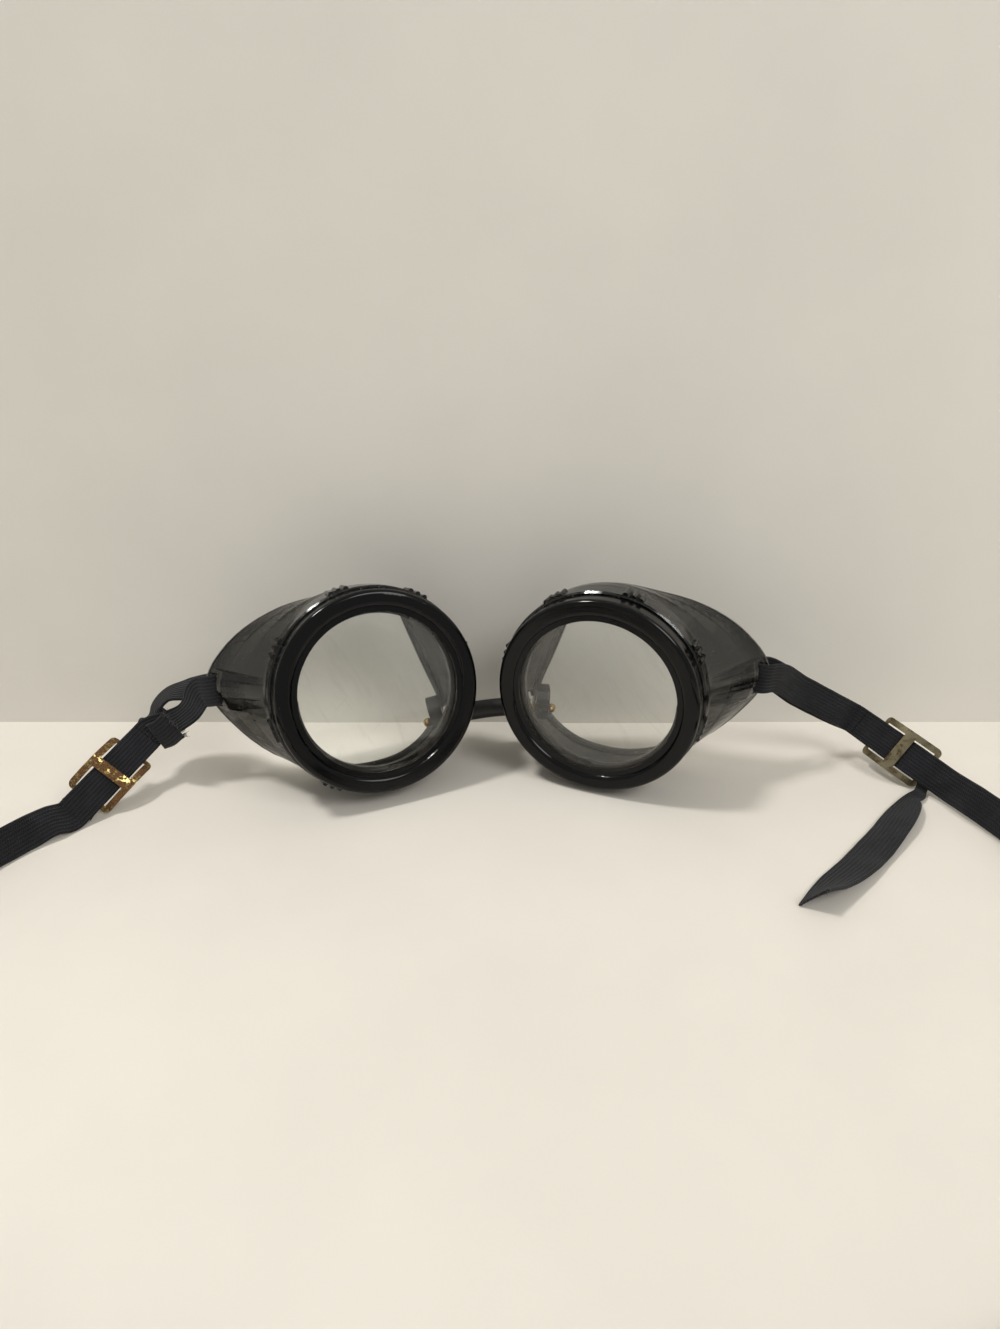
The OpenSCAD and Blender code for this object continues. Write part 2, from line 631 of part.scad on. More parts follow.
// Boss for the bridge chain: a bead seat, and above it the hole that the beads are threaded
// through, joined by a slot that only the link between two beads can pass
module boss_body() {
  along_x(0, boss_t, boss_d / 2);
  translate([0, 0, key_rise]) along_x(0, boss_t, boss_d / 2);
  translate([0, -boss_d / 2, 0]) cube([boss_t, boss_d, key_rise]);
}
module boss_bores() {
  along_x(-boss_d, boss_t - boss_web, chain_hole_r);
  translate([0, 0, key_rise]) along_x(-boss_d, boss_t + 2, chain_hole_r);
  translate([-boss_d, -link_slot_w / 2, -link_slot_w / 2])
    cube([boss_d + boss_t + 2, link_slot_w, key_rise + link_slot_w / 2]);
}

// The cup in place, faced off where the sleeve meets it, with the boss let in
module placed_cup(side) {
  difference() {
    union() {
      difference() {
        seat_cup(side) cup_shape();
        on_bridge() on_arc(side * arc_end) {
          along_x(-boss_d, 0, spot_r);
          along_x(boss_t, boss_t + 2 * chain_bead_d, chain_hole_r);
        }
      }
      on_bridge() on_arc(side * arc_end) boss_body();
    }
    on_bridge() on_arc(side * arc_end) boss_bores();
  }
}

// Rounded end of the sleeve, so that it rolls on the boss when the bridge folds
module sleeve_nose() {
  rotate([0, 90, 0]) rotate_extrude($fn = 96) intersection() {
    difference() {
      circle(d = sleeve_d, $fn = 96);
      square([sleeve_bore, 2 * sleeve_d], center = true);
    }
    square(sleeve_d / 2);
  }
}

module chain_end(side) {
  bead_x = boss_t + chain_bead_d / 2 + face_gap;
  on_bridge() on_arc(side * arc_end) {
    translate([bead_x, 0, 0]) rotate([0, 90, 0]) sphere(d = chain_bead_d, $fn = 48);
    along_x(chain_bead_d / 2 + stack_gap, bead_x, chain_link_d / 2);
  }
}

module slide_shape() {
  intersection() {
    linear_extrude(4 * bow_r, center = true) difference() {
      union() {
        square([slide_len - 2 * slide_corner, slide_h], center = true);
        square([slide_len, slide_h - 2 * slide_corner], center = true);
        for (x = [-1, 1]) for (y = [-1, 1])
          translate([x * (slide_len / 2 - slide_corner), y * (slide_h / 2 - slide_corner)])
            circle(r = slide_corner, $fn = 32);
      }
      for (x = [-1, 1])
        translate([x * (slide_bar / 2 + bar_edge) / 2, 0])
          square([bar_edge - slide_bar / 2, window_h], center = true);
    }
    translate([0, 0, -bow_drop]) rotate([90, 0, 0]) difference() {
      cylinder(r = bow_r + slide_t, h = 2 * slide_h, center = true, $fn = 128);
      cylinder(r = bow_r, h = 3 * slide_h, center = true, $fn = 128);
      translate([0, -2 * bow_r, 0]) cube([4 * bow_r, 4 * bow_r, 4 * slide_h], center = true);
    }
  }
}

// Nodes

module cup_left() {
  color("#4a4e46") translate(middle) placed_cup(-1);
}
module cup_right() {
  color("#4a4e46") translate(middle) placed_cup(1);
}
module lens_ring_left() {
  color("#0d0d0f") translate(middle) seat_cup(-1) ring_shape();
}
module lens_ring_right() {
  color("#0d0d0f") translate(middle) seat_cup(1) ring_shape();
}
module lens_left() {
  color("#e8eef0", 0.35) translate(middle) seat_cup(-1) lens_shape();
}
module lens_right() {
  color("#e8eef0", 0.35) translate(middle) seat_cup(1) lens_shape();
}
module lens_washer_left() {
  color("#1c1a18") translate(middle) seat_cup(-1) washer_shape();
}
module lens_washer_right() {
  color("#1c1a18") translate(middle) seat_cup(1) washer_shape();
}
module bridge_sleeve() {
  color("#101012") translate(middle) on_bridge() union() {
    along_arc(sleeve_end) difference() {
      circle(d = sleeve_d, $fn = 48);
      circle(d = sleeve_bore, $fn = 48);
    }
    for (s = [-1, 1]) on_arc(s * sleeve_end) sleeve_nose();
  }
}
module bridge_chain() {
  color("#b08a4a") translate(middle) on_bridge() union() {
    for (i = [0:chain_count]) on_arc(-arc_end + i * chain_step)
      rotate([0, 90, 0]) sphere(d = chain_bead_d, $fn = 48);
    for (i = [0:chain_count - 1]) on_arc(-arc_end + (i + 0.5) * chain_step)
      along_x(-chain_pitch / 2, chain_pitch / 2, chain_link_d / 2);
  }
}
module chain_end_left() {
  color("#b08a4a") translate(middle) chain_end(-1);
}
module chain_end_right() {
  color("#b08a4a") translate(middle) chain_end(1);
}
module headband() {
  color("#17181b") translate(middle) elastic(band_route, 4);
}
module headband_loop_left() {
  color("#1a1b1f") translate(middle) elastic(loop_route_l, 3);
}
module headband_loop_right() {
  color("#1a1b1f") translate(middle) elastic(loop_route_r, 3);
}
module headband_tail_left() {
  color("#141518") translate(middle) elastic(tail_route_l, 1);
}
module headband_tail_right() {
  color("#141518") translate(middle) elastic(tail_route_r, 4);
}
module headband_end_left() {
  color("#141518") translate(middle) elastic(end_route_l, 4);
}
module slide_left() {
  color("#8a7350") translate(middle) on_frame(slide_mid_l, -slide_ex_l, slide_ey_l, slide_ez_l) slide_shape();
}
module slide_right() {
  color("#837a66") translate(middle) on_frame(slide_mid_r, slide_ex_r, slide_ey_r, slide_ez_r) slide_shape();
}

cup_left();
cup_right();
lens_ring_left();
lens_ring_right();
lens_left();
lens_right();
lens_washer_left();
lens_washer_right();
bridge_sleeve();
bridge_chain();
chain_end_left();
chain_end_right();
headband();
headband_loop_left();
headband_loop_right();
headband_tail_left();
headband_tail_right();
headband_end_left();
slide_left();
slide_right();
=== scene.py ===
# Round cup goggles on a pale table in front of a pale wall, dressed with woven elastic,
# smoked and black plastic, glass, rubber and worn plated metal.
import math
import random

import bpy
import numpy as np
from mathutils import Matrix, Vector


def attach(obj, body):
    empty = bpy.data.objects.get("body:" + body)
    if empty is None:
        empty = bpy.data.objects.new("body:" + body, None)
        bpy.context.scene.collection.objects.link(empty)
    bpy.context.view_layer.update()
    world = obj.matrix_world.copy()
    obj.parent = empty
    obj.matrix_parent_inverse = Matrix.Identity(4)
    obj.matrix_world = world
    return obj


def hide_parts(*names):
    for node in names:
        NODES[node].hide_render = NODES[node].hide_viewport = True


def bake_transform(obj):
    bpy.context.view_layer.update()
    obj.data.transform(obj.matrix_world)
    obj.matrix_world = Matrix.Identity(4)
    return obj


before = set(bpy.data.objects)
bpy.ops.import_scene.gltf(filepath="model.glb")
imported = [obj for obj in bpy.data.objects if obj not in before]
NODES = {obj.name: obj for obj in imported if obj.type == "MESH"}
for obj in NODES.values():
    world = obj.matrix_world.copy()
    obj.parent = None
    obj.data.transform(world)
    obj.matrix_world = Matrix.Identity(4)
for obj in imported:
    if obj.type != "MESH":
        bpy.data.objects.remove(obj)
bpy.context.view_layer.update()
MM = 0.001
ROOT = "bridge_and_band"


def mm(*p):
    return tuple(c * MM for c in p)


def placed(name, data):
    """A new object in the scene's collection."""
    obj = bpy.data.objects.new(name, data)
    bpy.context.scene.collection.objects.link(obj)
    return obj


# ---------------------------------------------------------------- camera
SENSOR = 36  # mm
FOCAL, PICTURE_H = 800, 1329  # focal length and height of the picture, in its pixels
PITCH = 65  # degrees up from straight down

camera = placed("camera", bpy.data.cameras.new("camera"))
camera.data.sensor_width = SENSOR
camera.data.lens = SENSOR * FOCAL / PICTURE_H
camera.data.clip_start, camera.data.clip_end = 0.005, 20
camera.location = mm(2.391, -142.47, 138.3)
camera.rotation_euler = (math.radians(PITCH), 0, 0)
bpy.context.scene.camera = camera


# ---------------------------------------------------------------- where the cups stand
POSE = {  # lens centre, lean, toe and lift of each cup, as in the CAD
    -1: ((-32.5109, 63.926, 33.2002), 14.5, 24.5, 10.0),
    1: ((30.2891, 63.926, 31.5725), 2.0, 22.0, 8.5),
}


def turned(side, p):
    """A direction given in a cup's own axes, as it lies in the scene."""
    _, lean, toe, lift = POSE[side]
    q = (Matrix.Rotation(math.radians(-toe), 3, "Z") @ Matrix.Rotation(math.radians(90 - lean), 3, "X")
         @ Matrix.Rotation(math.radians(lift), 3, "Z") @ Vector(p))
    return Vector((side * q.x, q.y, q.z))


def cup_axes(side):
    """Rotation whose columns are the cup's own axes: outward, up and out through the lens."""
    return Matrix([turned(side, (side, 0, 0)), turned(side, (0, 1, 0)), turned(side, (0, 0, 1))]).transposed()


def cup_frame(side):
    """Turn and origin that put object coordinates into a cup's own axes."""
    return {"turn": cup_axes(side), "origin": Vector(POSE[side][0]) * MM}


# ---------------------------------------------------------------- node trees
class Tree:
    """Builds a material's nodes; each call returns the node's first output."""

    def __init__(self, name):
        self.material = bpy.data.materials.new(name)
        self.material.use_nodes = True
        self.tree = self.material.node_tree
        self.tree.nodes.clear()

    def node(self, kind, props=None, **inputs):
        n = self.tree.nodes.new(kind)
        for k, v in (props or {}).items():
            setattr(n, k, v)
        for k, v in inputs.items():
            socket = n.inputs[int(k[1:])] if k[1:].isdigit() else n.inputs[k.replace("_", " ")]
            if isinstance(v, bpy.types.NodeSocket):
                self.tree.links.new(v, socket)
            else:
                socket.default_value = v
        return n

    def out(self, kind, props=None, **inputs):
        return self.node(kind, props, **inputs).outputs[0]

    def math(self, op, a, b=0.0, c=0.0, clamp=False):
        return self.out("ShaderNodeMath", {"operation": op, "use_clamp": clamp}, i0=a, i1=b, i2=c)

    def ramp(self, value, low, high, to_low=0.0, to_high=1.0):
        return self.out("ShaderNodeMapRange", {"interpolation_type": "SMOOTHSTEP"}, Value=value,
                        From_Min=low, From_Max=high, To_Min=to_low, To_Max=to_high)

    def mix(self, share, a, b):
        n = self.tree.nodes.new("ShaderNodeMix")
        n.data_type = "RGBA"
        for socket, v in ((n.inputs[0], share), (n.inputs[6], a), (n.inputs[7], b)):
            if isinstance(v, bpy.types.NodeSocket):
                self.tree.links.new(v, socket)
            else:
                socket.default_value = v
        return n.outputs[2]

    def noise(self, where, scale, detail=3.0, rough=0.55, distort=0.0):
        return self.out("ShaderNodeTexNoise", None, Vector=where, Scale=scale, Detail=detail,
                        Roughness=rough, Distortion=distort)

    def place(self, scale=(1, 1, 1), origin=(0, 0, 0), turn=None):
        """Object coordinates, in the frame of turn and origin where they are given."""
        where = self.node("ShaderNodeTexCoord").outputs["Object"]
        if turn is not None:
            where = self.out("ShaderNodeMapping", {"vector_type": "TEXTURE"}, Vector=where,
                             Location=origin, Rotation=turn.to_euler())
        return self.out("ShaderNodeMapping", None, Vector=where, Scale=scale)

    def bump(self, height, distance, strength=1.0, before=None):
        extra = {"Normal": before} if before else {}
        return self.out("ShaderNodeBump", None, Height=height, Distance=distance, Strength=strength, **extra)

    def principled(self, **inputs):
        return self.out("ShaderNodeBsdfPrincipled", None, **inputs)

    def radius(self, x, y):
        return self.math("SQRT", self.math("ADD", self.math("MULTIPLY", x, x), self.math("MULTIPLY", y, y)))

    def mixed(self, share, a, b):
        return self.out("ShaderNodeMixShader", None, i0=share, i1=a, i2=b)

    def finish(self, surface, volume=None):
        n = self.tree.nodes.new("ShaderNodeOutputMaterial")
        self.tree.links.new(surface, n.inputs["Surface"])
        if volume:
            self.tree.links.new(volume, n.inputs["Volume"])
        return self.material


def rgb(r, g, b):
    """Linear colour from 0 to 255 display values."""
    def f(c):
        c /= 255
        return c / 12.92 if c <= 0.04045 else ((c + 0.055) / 1.055) ** 2.4
    return (f(r), f(g), f(b), 1)


def lamps_pass(t, surface, tint):
    """Lets lamps through a see-through surface, so that what stands behind it is lit."""
    ray = t.node("ShaderNodeLightPath").outputs["Is Shadow Ray"]
    return t.mixed(ray, surface, t.out("ShaderNodeBsdfTransparent", None, Color=tint))


OUTSIDE = 0.0292  # metres from the lens axis at which a cup's outer face begins
BOWL_LOW, BOWL_HIGH = -0.0185, -0.0165  # metres along the lens axis over which the bowl's dust fades in


def smoke_plastic(name, side):
    """Smoked thermoplastic: dark where it is thick, with flow marks, fine scratches and dust."""
    t = Tree(name)
    at_cup = cup_frame(side)
    own = t.place(**at_cup)
    parts = t.node("ShaderNodeSeparateXYZ", None, Vector=own)
    x, y, z = parts.outputs
    radius = t.radius(x, y)
    flow = t.noise(own, 90, 4, 0.5, 1.5)
    speck = t.noise(own, 1400, 2, 0.6)
    blotch = t.noise(own, 230, 5, 0.65, 0.4)
    scratch = t.noise(t.place((1800, 160, 1800), **at_cup), 1.0, 2, 0.5)
    height = t.math("ADD", t.math("MULTIPLY", flow, 0.7), t.math("MULTIPLY", scratch, 0.18))
    normal = t.bump(height, 0.00022, 0.35)
    rough = t.math("ADD", t.ramp(blotch, 0.35, 0.75, 0.07, 0.24), t.ramp(speck, 0.62, 0.8, 0.0, 0.2))
    clear = t.principled(Base_Color=(0.86, 0.87, 0.83, 1), Roughness=rough, IOR=1.49,
                         Transmission_Weight=1.0, Normal=normal)
    # a thin dark film of dust and rubbed plastic, most of it inside the bowl
    bowl = t.math("MULTIPLY", t.ramp(radius, OUTSIDE, 0.0302, 1.0, 0.12),
                  t.ramp(z, BOWL_LOW, BOWL_HIGH, 0.18, 1.0))
    film = t.math("ADD", t.ramp(blotch, 0.42, 0.72, 0.02, 0.34), t.ramp(speck, 0.66, 0.76, 0.0, 0.35))
    dust = t.principled(Base_Color=t.mix(blotch, rgb(44, 42, 38), rgb(84, 81, 75)), Roughness=0.85)
    body = t.mixed(t.math("MULTIPLY", film, bowl, clamp=True), clear, dust)
    smoke = t.out("ShaderNodeVolumeAbsorption", None, Color=(0.085, 0.089, 0.08, 1), Density=1350.0)
    return t.finish(lamps_pass(t, body, (0.9, 0.9, 0.88, 1)), smoke)


def black_plastic(name, side):
    """Turned black plastic: glossy, with hairline scratches round the ring and rubbed grip edges."""
    t = Tree(name)
    own = t.place(**cup_frame(side))
    parts = t.node("ShaderNodeSeparateXYZ", None, Vector=own)
    x, y, z = parts.outputs
    angle = t.math("ARCTAN2", y, x)
    radius = t.radius(x, y)
    polar = t.out("ShaderNodeCombineXYZ", None, X=t.math("MULTIPLY", angle, 2.2),
                  Y=t.math("MULTIPLY", radius, 5200), Z=t.math("MULTIPLY", z, 5200))
    lines = t.noise(polar, 1.0, 2, 0.6)
    speck = t.noise(own, 2600, 2, 0.5)
    wide = t.noise(own, 120, 4, 0.6, 0.5)
    edge = t.math("MULTIPLY", t.ramp(radius, OUTSIDE, 0.0300), t.ramp(wide, 0.45, 0.7))
    rough = t.math("ADD", t.ramp(wide, 0.3, 0.75, 0.06, 0.16),
                   t.math("ADD", t.ramp(lines, 0.6, 0.8, 0.0, 0.16), t.math("MULTIPLY", edge, 0.2)))
    colour = t.mix(t.math("ADD", t.ramp(speck, 0.68, 0.76, 0.0, 0.35), t.math("MULTIPLY", edge, 0.25)),
                   rgb(3, 3, 4), rgb(26, 26, 27))
    normal = t.bump(t.math("ADD", t.math("MULTIPLY", lines, 0.5), wide), 0.00006, 0.3)
    return t.finish(t.principled(Base_Color=colour, Roughness=rough, IOR=1.5, Normal=normal,
                                 Specular_IOR_Level=0.24))


def lens_glass(name, side):
    """Flat glass with a few smears, hairlines and grains of dust."""
    t = Tree(name)
    turn, origin = cup_frame(side).values()
    own = t.place(turn=turn, origin=origin)
    wiped = t.place((260, 55, 60), turn=turn @ Matrix.Rotation(0.5, 3, "Z"), origin=origin)
    smear = t.noise(wiped, 1.0, 4, 0.6, 0.8)
    grain = t.noise(own, 2400, 1, 0.5)
    drawn = t.place((3000, 60, 60), turn=turn @ Matrix.Rotation(-0.7, 3, "Z"), origin=origin)
    hair = t.noise(drawn, 1.0, 1, 0.5)
    film = t.math("ADD", t.ramp(smear, 0.5, 0.78, 0.006, 0.07),
                  t.math("ADD", t.ramp(grain, 0.72, 0.78, 0.0, 0.2), t.ramp(hair, 0.74, 0.8, 0.0, 0.12)))
    glass = t.principled(Base_Color=(0.955, 0.97, 0.95, 1), Roughness=0.0, IOR=1.5, Transmission_Weight=1.0)
    dust = t.principled(Base_Color=rgb(188, 186, 178), Roughness=0.9)
    body = t.mixed(film, glass, dust)
    return t.finish(lamps_pass(t, body, (0.93, 0.94, 0.93, 1)))


def fibre(name):
    """Pressed fibre: matt, brown black, with short fibres."""
    t = Tree(name)
    own = t.place()
    strands = t.noise(t.place((700, 2600, 2600)), 1.0, 4, 0.7, 1.0)
    cloud = t.noise(own, 380, 3, 0.6)
    colour = t.mix(t.math("MULTIPLY", t.math("ADD", strands, cloud), 0.5), rgb(24, 22, 20), rgb(60, 54, 47))
    return t.finish(t.principled(Base_Color=colour, Roughness=t.ramp(strands, 0.3, 0.7, 0.75, 0.95),
                                 Normal=t.bump(strands, 0.00012, 0.6)))


def sleeve_rubber(name):
    """Black rubber tube: satin, with a little bloom and fine pits."""
    t = Tree(name)
    own = t.place()
    pits = t.noise(own, 2200, 3, 0.6)
    bloom = t.noise(own, 170, 4, 0.6, 0.6)
    colour = t.mix(t.ramp(bloom, 0.4, 0.75, 0.0, 0.6), rgb(15, 15, 17), rgb(46, 45, 44))
    rough = t.ramp(bloom, 0.3, 0.7, 0.28, 0.5)
    normal = t.bump(t.math("ADD", pits, t.math("MULTIPLY", bloom, 2)), 0.00005, 0.5)
    return t.finish(t.principled(Base_Color=colour, Roughness=rough, Normal=normal))


def chain_brass(name):
    """Brass with brown tarnish in its hollows."""
    t = Tree(name)
    own = t.place()
    stain = t.noise(own, 620, 5, 0.65)
    colour = t.mix(t.ramp(stain, 0.42, 0.66), rgb(214, 176, 112), rgb(112, 78, 42))
    return t.finish(t.principled(Base_Color=colour, Metallic=1.0, Roughness=t.ramp(stain, 0.3, 0.7, 0.2, 0.5),
                                 Normal=t.bump(stain, 0.00008, 0.4)))


def worn_metal(name, bright, dull, rust, dark_rust, rust_from):
    """Plated steel whose plating is dulled and broken by rust spots."""
    t = Tree(name)
    own = t.place()
    cloud = t.noise(own, 260, 5, 0.62, 0.3)
    spot = t.noise(own, 1250, 4, 0.7)
    grain = t.noise(own, 4200, 2, 0.6)
    area = t.math("ADD", t.math("MULTIPLY", cloud, 0.55), t.math("MULTIPLY", spot, 0.5))
    rusted = t.ramp(area, rust_from, rust_from + 0.045)
    plate = t.mix(t.ramp(cloud, 0.35, 0.65), bright, dull)
    red = t.mix(t.ramp(grain, 0.35, 0.65), rust, dark_rust)
    height = t.math("ADD", t.math("MULTIPLY", rusted, 0.8),
                    t.math("MULTIPLY", t.math("MULTIPLY", grain, rusted), 1.3))
    normal = t.bump(t.math("ADD", height, t.math("MULTIPLY", grain, 0.12)), 0.00018, 0.8)
    rough = t.math("ADD", t.ramp(cloud, 0.3, 0.7, 0.24, 0.42), t.math("MULTIPLY", rusted, 0.45), clamp=True)
    return t.finish(t.principled(Base_Color=t.mix(rusted, plate, red), Roughness=rough,
                                 Metallic=t.ramp(rusted, 0.0, 1.0, 1.0, 0.1), Normal=normal))


def elastic_weave(name, yarn_highlight_and_fade):
    """Braided elastic: slanted yarns between the cords, their raised crowns lightened in the colour as a
    painted highlight, a soft sheen and rubbed, faded places.
    The strap's own map gives millimetres across and along."""
    t = Tree(name)
    weave = t.out("ShaderNodeUVMap", {"uv_map": "weave"})
    parts = t.node("ShaderNodeSeparateXYZ", None, Vector=weave)
    across = t.math("MULTIPLY", parts.outputs[0], 100)
    along = t.math("MULTIPLY", parts.outputs[1], 1000)
    own = t.place()
    cord = t.math("MULTIPLY", across, 1 / CORD_PITCH)
    tri = t.math("PINGPONG", cord, 1.0)
    slant = t.math("ADD", t.math("MULTIPLY", along, 1.55), t.math("MULTIPLY", tri, 0.8))
    yarn = t.math("PINGPONG", slant, 0.5)
    gap = t.math("PINGPONG", t.math("ADD", cord, 0.5), 0.5)
    fuzz = t.noise(own, 3200, 3, 0.7)
    cloud = t.noise(own, 120, 4, 0.6, 0.4)
    height = t.math("ADD", t.math("MULTIPLY", yarn, 1.2),
                    t.math("ADD", t.ramp(gap, 0.0, 0.22), t.math("MULTIPLY", fuzz, 0.5)))
    # painted highlight: the raised yarn crowns are lightened towards the second colour, mixed with real
    # rubbed fading from the cloud
    yarn_highlight_and_wear = t.math("MULTIPLY", t.math("ADD", t.math("MULTIPLY", yarn, 0.9), t.math("MULTIPLY", fuzz, 0.6)),
                 t.ramp(cloud, 0.3, 0.75, 0.55, 1.35))
    colour = t.mix(t.ramp(yarn_highlight_and_wear, 0.1, 0.95), rgb(8, 9, 12), yarn_highlight_and_fade)
    colour = t.mix(t.ramp(fuzz, 0.7, 0.78, 0.0, 0.3), colour, rgb(74, 71, 66))
    return t.finish(t.principled(Base_Color=colour, Roughness=0.86, Normal=t.bump(height, 0.00016, 0.9),
                                 Sheen_Weight=0.1, Sheen_Roughness=0.5, Specular_IOR_Level=0.3))


def threads(name):
    """Loose threads of the cut ends: dark, with a little fuzz."""
    t = Tree(name)
    own = t.place()
    shade = t.noise(own, 900, 2, 0.6)
    return t.finish(t.principled(Base_Color=t.mix(shade, rgb(20, 20, 22), rgb(66, 62, 58)), Roughness=0.9,
                                 Sheen_Weight=0.3, Normal=t.bump(shade, 0.00004, 0.5)))


def dress(node, material):
    """Puts one material on every slot of a CAD node."""
    for s in NODES[node].material_slots:
        s.material = material
    if not NODES[node].material_slots:
        NODES[node].data.materials.append(material)


brass, rubber = chain_brass("tarnished_brass"), sleeve_rubber("sleeve_rubber")
pressed = fibre("pressed_fibre")
for side, word in ((-1, "left"), (1, "right")):
    dress("cup_" + word, smoke_plastic("smoked_plastic_" + word, side))
    dress("lens_ring_" + word, black_plastic("black_plastic_" + word, side))
    dress("lens_" + word, lens_glass("lens_glass_" + word, side))
    dress("lens_washer_" + word, pressed)
    dress("chain_end_" + word, brass)
dress("bridge_chain", brass)
dress("bridge_sleeve", rubber)
dress("slide_left", worn_metal("rusty_plating", rgb(176, 156, 104), rgb(132, 112, 70), rgb(126, 88, 44),
                               rgb(66, 42, 22), 0.47))
dress("slide_right", worn_metal("dull_plating", rgb(150, 142, 116), rgb(112, 102, 78), rgb(98, 74, 46),
                                rgb(64, 48, 32), 0.58))


# ---------------------------------------------------------------- woven elastic
def smooth_run(rows, steps):
    """The CAD's own curve through the rows of a run."""
    c = np.array(rows, float)
    gap = np.linalg.norm(np.diff(c[:, :3], axis=0), axis=1)
    step = np.diff(c, axis=0) / gap[:, None]
    slope = np.concatenate([step[:1], (step[:-1] * gap[1:, None] + step[1:] * gap[:-1, None])
                            / (gap[1:] + gap[:-1])[:, None], step[-1:]])
    out = []
    for p, q, m, n, h in zip(c[:-1], c[1:], slope[:-1], slope[1:], gap):
        for t in np.arange(steps) / steps:
            out.append(p * (2 * t ** 3 - 3 * t ** 2 + 1) + m * h * (t ** 3 - 2 * t ** 2 + t)
                       + q * (3 * t ** 2 - 2 * t ** 3) + n * h * (t ** 3 - t ** 2))
    return np.array(out + [c[-1]])


def norm(v):
    return v / np.linalg.norm(v, axis=-1, keepdims=True)


BAND_W, BAND_T, CORDS = 9.5, 0.9, 9  # width and thickness in mm, and cords across the width
CORD_PITCH = 1.05  # mm from yarn to yarn in the weave's pattern
STEPS = 24  # points from row to row of a run
CALM = 6  # mm at each end of a run that lie without waves


def section():
    """Corded outline of the elastic as (across, out) in millimetres, and its place across the face."""
    half, thick = BAND_W / 2, BAND_T / 2
    points = []
    n = CORDS * 6
    for face in (1, -1):
        for i in range(n + 1):
            u = -1 + 2 * i / n
            cord = abs(math.sin(math.pi * (u + 1) / 2 * CORDS)) ** 0.6
            edge = min(1.0, (1 - abs(u)) / 0.07)
            t = thick * (0.78 + 0.22 * cord) * math.sqrt(max(0.0, 1 - (1 - edge) ** 2))
            points.append((face * u * half, face * max(t, 0.03)))
    return points


# the strap's second colour is that of the painted highlight on the yarn crowns and of the rubbed, faded
# places
def strap(name, rows, pitch=0.45, shape=None, seed=1, yarn_highlight_and_fade=rgb(31, 32, 38)):
    """Elastic along rows of place and width direction, whose length is a share of the width."""
    run = smooth_run(rows, STEPS)
    place = run[:, :3]
    length = np.concatenate([[0], np.cumsum(np.linalg.norm(np.diff(place, axis=0), axis=1))])
    count = max(int(length[-1] / pitch), 4)
    at = np.linspace(0, length[-1], count + 1)
    run = np.stack([np.interp(at, length, run[:, k]) for k in range(6)], axis=1)
    place, up = run[:, :3], run[:, 3:]
    along = norm(np.gradient(place, axis=0))
    across = norm(up - along * np.sum(up * along, axis=1, keepdims=True))
    face = np.cross(along, across)
    rng = np.random.default_rng(seed)
    waves = sum(np.sin(at[:, None] / k * 6.283 + rng.uniform(0, 6.3, (1, 3))) for k in (7.0, 17.0, 41.0)) / 3
    outline = np.array(section())
    k = len(outline)
    width = np.linalg.norm(up, axis=1) * (1 - 0.012 * (1 + waves[:, 0]))
    a = outline[None, :, 0] * width[:, None]
    calm = np.clip(np.minimum(at, length[-1] - at) / CALM, 0, 1)
    cup = 0.1 * (waves[:, 1] * calm)[:, None] * ((outline[None, :, 0] / (BAND_W / 2)) ** 2 - 0.4)
    f = outline[None, :, 1] + cup * 0.6
    if shape is not None:
        a, f = shape(at, length[-1], a, f)
    points = place[:, None, :] + across[:, None, :] * a[..., None] + face[:, None, :] * f[..., None]
    n = len(at)
    index = np.arange(n * k).reshape(n, k)
    nxt = np.roll(index, -1, axis=1)
    quads = np.stack([index[:-1], nxt[:-1], nxt[1:], index[1:]], axis=-1).reshape(-1, 4)
    mesh = bpy.data.meshes.new(name)
    faces = [tuple(q) for q in quads] + [tuple(index[0][::-1]), tuple(index[-1])]
    mesh.from_pydata([tuple(p) for p in points.reshape(-1, 3) * MM], [], faces)
    uv = mesh.uv_layers.new(name="weave")
    u_of = (outline[:, 0] + BAND_W / 2) / 100
    loops = np.zeros(len(mesh.loops), int)
    mesh.loops.foreach_get("vertex_index", loops)
    coords = np.stack([u_of[loops % k], at[loops // k] / 1000], axis=1)
    uv.data.foreach_set("uv", coords.ravel())
    mesh.polygons.foreach_set("use_smooth", [True] * len(mesh.polygons))
    mesh.update()
    obj = placed(name, mesh)
    mesh.materials.append(elastic_weave(name + "_weave", yarn_highlight_and_fade))
    return obj


UP_L, UP_R, REST = (-0.739, 0.111, 0.665), (0.559, 0.154, 0.815), (0, 0, 1)
LUG_L, LUG_R = (-0.168, 0.247, 0.954), (0.102, 0.047, 0.994)
band_rows = [
    (117.245, 80.93, 13.602, *UP_R), (125.815, 70.218, 9.746, *UP_R),
    (134.385, 59.506, 5.89, *UP_R), (135.287, 58.378, 5.484, *UP_R),
    (138.489, 49.426, 5.5, 0.501, 0.2, 0.842), (144.289, 30.926, 5, 0.299, 0.12, 0.947),
    (147.889, 3.926, 4.81, *REST), (145.389, -24.074, 4.81, *REST), (130.889, -52.074, 4.81, *REST),
    (98.889, -76.074, 4.81, *REST), (50.889, -90.074, 4.81, *REST), (-1.111, -94.074, 4.81, *REST),
    (-53.111, -90.074, 4.81, *REST), (-101.111, -76.074, 4.81, *REST), (-133.111, -52.074, 4.81, *REST),
    (-147.611, -24.074, 4.81, *REST), (-144.111, 1.926, 4.81, *REST),
    (-132.611, 23.926, 4.85, -0.251, 0.1, 0.963), (-126.311, 35.726, 4.6, -0.509, 0.102, 0.855),
    (-122.711, 41.326, 4.5, -0.806, 0.106, 0.583), (-119.029, 45.111, 3.963, *UP_L),
    (-118.629, 45.712, 4.308, *UP_L), (-111.494, 56.414, 10.443, *UP_L),
    (-104.36, 67.115, 16.579, *UP_L),
]
